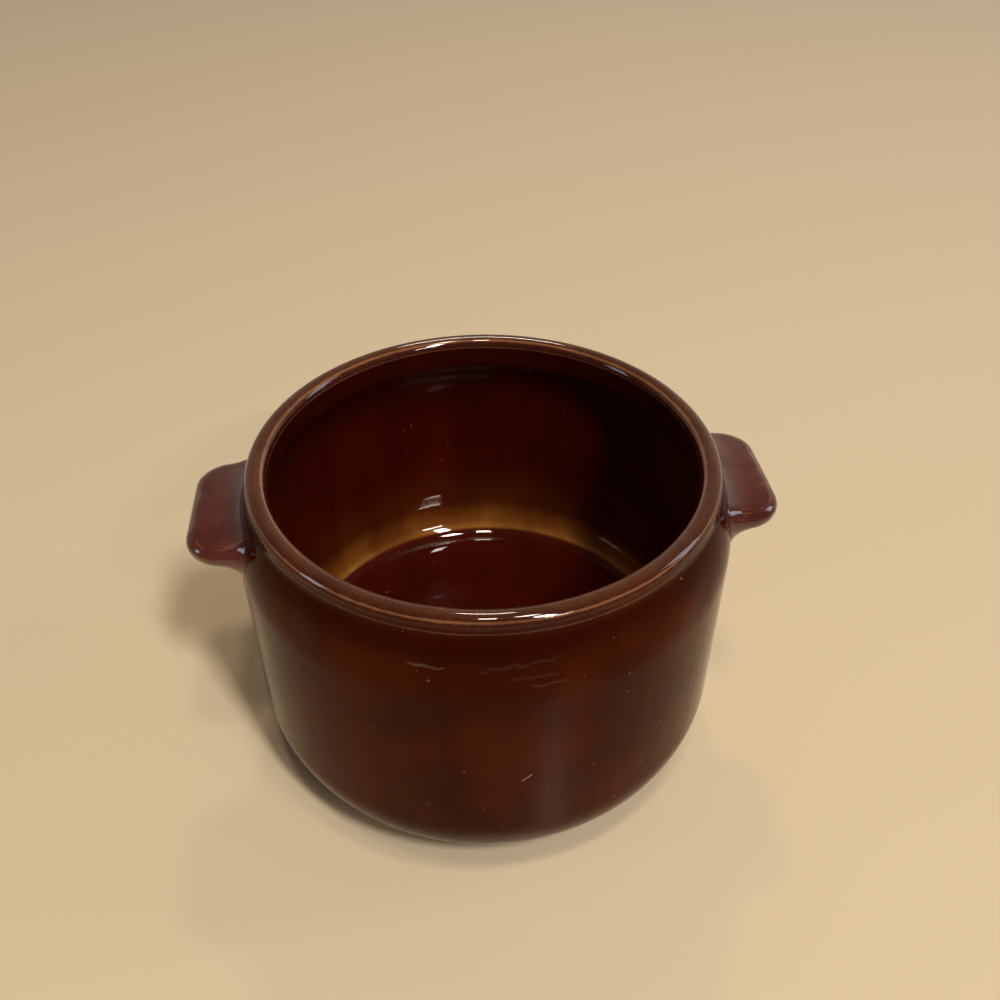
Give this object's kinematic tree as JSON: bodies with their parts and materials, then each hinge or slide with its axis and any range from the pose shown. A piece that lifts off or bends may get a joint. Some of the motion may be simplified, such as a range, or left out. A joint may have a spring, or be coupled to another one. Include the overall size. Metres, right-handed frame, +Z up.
{
  "type": "bean pot",
  "caption": "Round stoneware bean pot in dark brown glaze, open at the top, with a rolled rim, rounded bottom edge and tab handles on opposite sides.",
  "frame": {"origin": "middle of the foot, on the surface that the pot stands on", "axes": "+Z up along the pot's axis, +X out through the right handle, +Y away from the viewer of the picture"},
  "size_m": [0.223, 0.191, 0.136],
  "materials": {
    "pot_body": "gloss",
    "left_lug": "gloss",
    "right_lug": "gloss"
  },
  "bodies": {
    "root": {"pot_body": "pot_body", "left_lug": "left_lug", "right_lug": "right_lug"}
  },
  "joints": []
}
